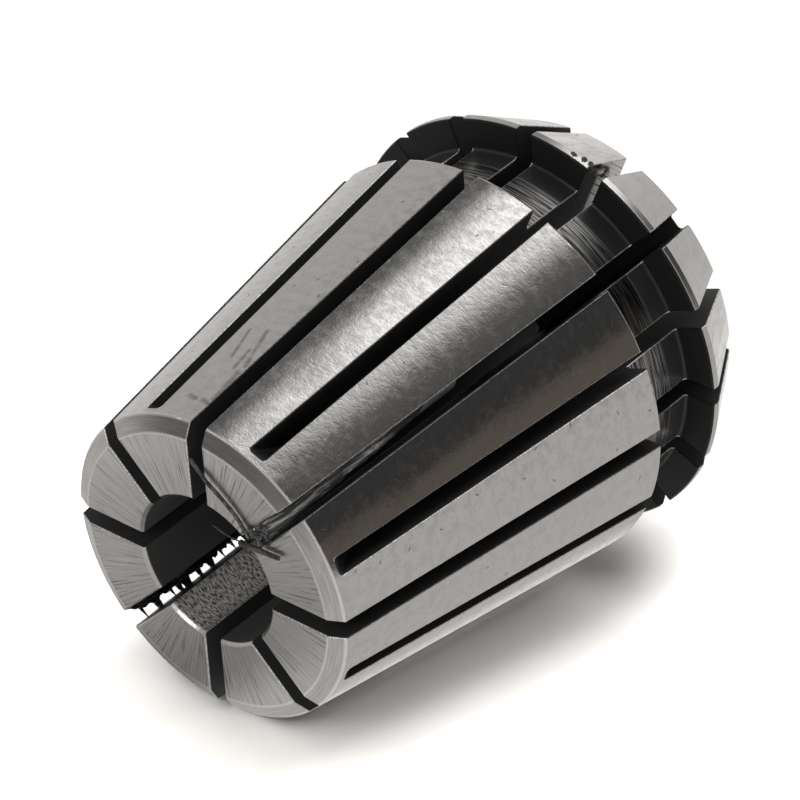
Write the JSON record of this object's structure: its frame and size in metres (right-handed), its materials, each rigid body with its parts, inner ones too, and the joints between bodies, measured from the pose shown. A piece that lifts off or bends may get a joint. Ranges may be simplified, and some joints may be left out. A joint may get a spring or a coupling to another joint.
{
  "type": "er collet",
  "caption": "Slotted spring-steel collet with a long seating cone, an extraction groove, a tapered nut flange and a straight clamping bore.",
  "frame": {"origin": "centre of the flat nut-end face, on the bore's axis", "axes": "+Z along the bore from the nut end up to the small spindle end; +X through the middle of one leaf, with a back slot 11.25 degrees to its -Y side"},
  "size_m": [0.0312, 0.0312, 0.04],
  "materials": {
    "ground_steel": "ground spring steel, blackened in the slots, bore and extraction groove"
  },
  "bodies": {
    "root": {"collet": "ground_steel"}
  },
  "joints": []
}
